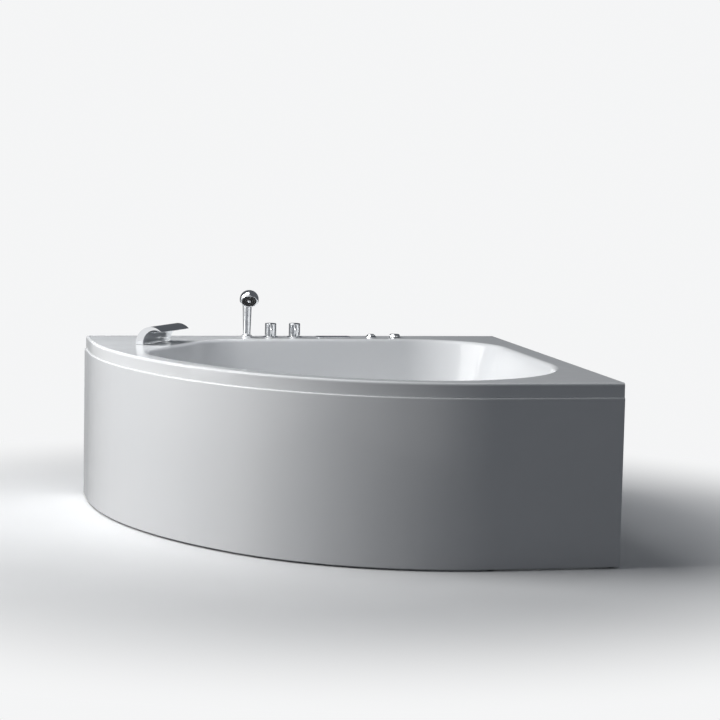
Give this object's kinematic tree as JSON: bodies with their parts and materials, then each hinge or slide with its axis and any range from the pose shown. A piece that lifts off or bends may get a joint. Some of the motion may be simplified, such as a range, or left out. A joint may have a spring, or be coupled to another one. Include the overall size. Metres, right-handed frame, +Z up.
{
  "type": "corner jetted bath",
  "caption": "Corner jetted bath with a bowed panel, white shell on a steel frame, deck taps, waterfall spout, hand shower, aimable jets, pump and pop-up waste.",
  "frame": {"origin": "on the floor, in the middle of the bath's square plan", "axes": "+X to the right along the back wall, +Y towards the back wall, +Z up"},
  "size_m": [1.5, 1.5, 0.7421],
  "materials": {
    "acrylic": "polished white acrylic",
    "panel_acrylic": "polished white acrylic",
    "chrome": "bright plating",
    "brass": "cast and turned",
    "galvanised": "zinc plated tube",
    "plated_steel": "zinc plated",
    "wood": "bare board",
    "black_rubber": "moulded",
    "white_pvc": "satin pipe",
    "grey_plastic": "moulded, satin",
    "black_plastic": "moulded, satin",
    "dark_glass": "dark polished window",
    "motor_paint": "satin enamel",
    "spray_rubber": "soft spray plate"
  },
  "bodies": {
    "bath": {"air_manifold": "white_pvc", "base_battens": "wood", "base_board": "wood", "control_bezel": "chrome", "control_box": "grey_plastic", "control_box_lid": "grey_plastic", "control_glass": "dark_glass", "deck_nuts": "brass", "diverter_body": "brass", "drain_body": "grey_plastic", "drain_flange": "chrome", "foot_locknuts": "plated_steel", "foot_pads": "black_plastic", "foot_studs": "plated_steel", "frame_posts": "galvanised", "frame_rails": "galvanised", "frame_shelves": "galvanised", "front_panel": "panel_acrylic", "jet_bodies": "white_pvc", "jet_rings": "chrome", "mixer_body": "brass", "mixer_link_pipe": "white_pvc", "overflow_body": "grey_plastic", "overflow_pipe": "grey_plastic", "panel_catches": "black_plastic", "pump_cushions": "black_rubber", "pump_fan_cover": "black_plastic", "pump_motor": "motor_paint", "pump_saddle": "grey_plastic", "pump_terminal_box": "black_plastic", "pump_volute": "grey_plastic", "regulator_body": "grey_plastic", "shower_socket": "chrome", "spout_feed_pipe": "white_pvc", "spout_gasket": "black_rubber", "spout_tail": "brass", "suction_body": "white_pvc", "suction_cover": "chrome", "suction_pipe": "white_pvc", "supply_gland": "black_plastic", "switch_bezel": "chrome", "tub_shell": "acrylic", "valve_flanges": "chrome", "water_manifold": "white_pvc", "waterfall_spout": "chrome"},
    "shower": {"hand_shower": "chrome", "shower_face": "spray_rubber"},
    "diverter": {"diverter_knob": "chrome"},
    "mixer": {"mixer_knob": "chrome"},
    "air_button": {"switch_button": "chrome"},
    "regulator": {"regulator_knob": "chrome"},
    "overflow_dial": {"overflow_knob": "chrome"},
    "plug": {"drain_plug": "chrome"},
    "impeller": {"pump_impeller": "grey_plastic"},
    "nozzle_1": {"jet_nozzle_1": "chrome"},
    "nozzle_2": {"jet_nozzle_2": "chrome"},
    "nozzle_3": {"jet_nozzle_3": "chrome"},
    "nozzle_4": {"jet_nozzle_4": "chrome"},
    "nozzle_5": {"jet_nozzle_5": "chrome"},
    "nozzle_6": {"jet_nozzle_6": "chrome"}
  },
  "joints": [
    {"name": "shower_lift", "type": "slide", "parent": "bath", "child": "shower", "axis": [0, 0, 1], "range_m": [0, 0.15]},
    {"name": "diverter_turn", "type": "hinge", "parent": "bath", "child": "diverter", "pos_m": [-0.092, 0.69, 0.59], "axis": [0, 0, 1], "range_deg": [-45, 45]},
    {"name": "mixer_turn", "type": "hinge", "parent": "bath", "child": "mixer", "pos_m": [-0.005, 0.69, 0.59], "axis": [0, 0, 1], "range_deg": [-60, 60]},
    {"name": "air_button_press", "type": "slide", "parent": "bath", "child": "air_button", "axis": [0, 0, -1], "range_m": [0, 0.003], "stiffness_N_per_m": 900},
    {"name": "regulator_turn", "type": "hinge", "parent": "bath", "child": "regulator", "pos_m": [0.365, 0.69, 0.58], "axis": [0, 0, 1], "range_deg": [0, 180]},
    {"name": "overflow_turn", "type": "hinge", "parent": "bath", "child": "overflow_dial", "pos_m": [0.64757, -0.08, 0.46], "axis": [-0.9703, 0, 0.2419], "range_deg": [0, 90]},
    {"name": "plug_lift", "type": "slide", "parent": "bath", "child": "plug", "axis": [0, 0, 1], "range_m": [0, 0.01]},
    {"name": "impeller_spin", "type": "hinge", "parent": "bath", "child": "impeller", "pos_m": [-0.47, 0.6485, 0.21769], "axis": [1, 0, 0], "continuous": true},
    {"name": "nozzle_1_aim", "type": "hinge", "parent": "bath", "child": "nozzle_1", "pos_m": [-0.15351, 0.55906, 0.30903], "axis": [1, 0, 0], "range_deg": [-15, 15]},
    {"name": "nozzle_2_aim", "type": "hinge", "parent": "bath", "child": "nozzle_2", "pos_m": [0.00599, 0.55906, 0.30903], "axis": [1, 0, 0], "range_deg": [-15, 15]},
    {"name": "nozzle_3_aim", "type": "hinge", "parent": "bath", "child": "nozzle_3", "pos_m": [0.1655, 0.55906, 0.30903], "axis": [1, 0, 0], "range_deg": [-15, 15]},
    {"name": "nozzle_4_aim", "type": "hinge", "parent": "bath", "child": "nozzle_4", "pos_m": [0.325, 0.55906, 0.30903], "axis": [1, 0, 0], "range_deg": [-15, 15]},
    {"name": "nozzle_5_aim", "type": "hinge", "parent": "bath", "child": "nozzle_5", "pos_m": [0.61406, 0.23, 0.30903], "axis": [0, -1, 0], "range_deg": [-15, 15]},
    {"name": "nozzle_6_aim", "type": "hinge", "parent": "bath", "child": "nozzle_6", "pos_m": [0.61406, 0.05, 0.30903], "axis": [0, -1, 0], "range_deg": [-15, 15]}
  ],
  "couplings": [
    {"joint": "plug_lift", "follows": "overflow_turn", "m_per_rad": 0.00636}
  ]
}
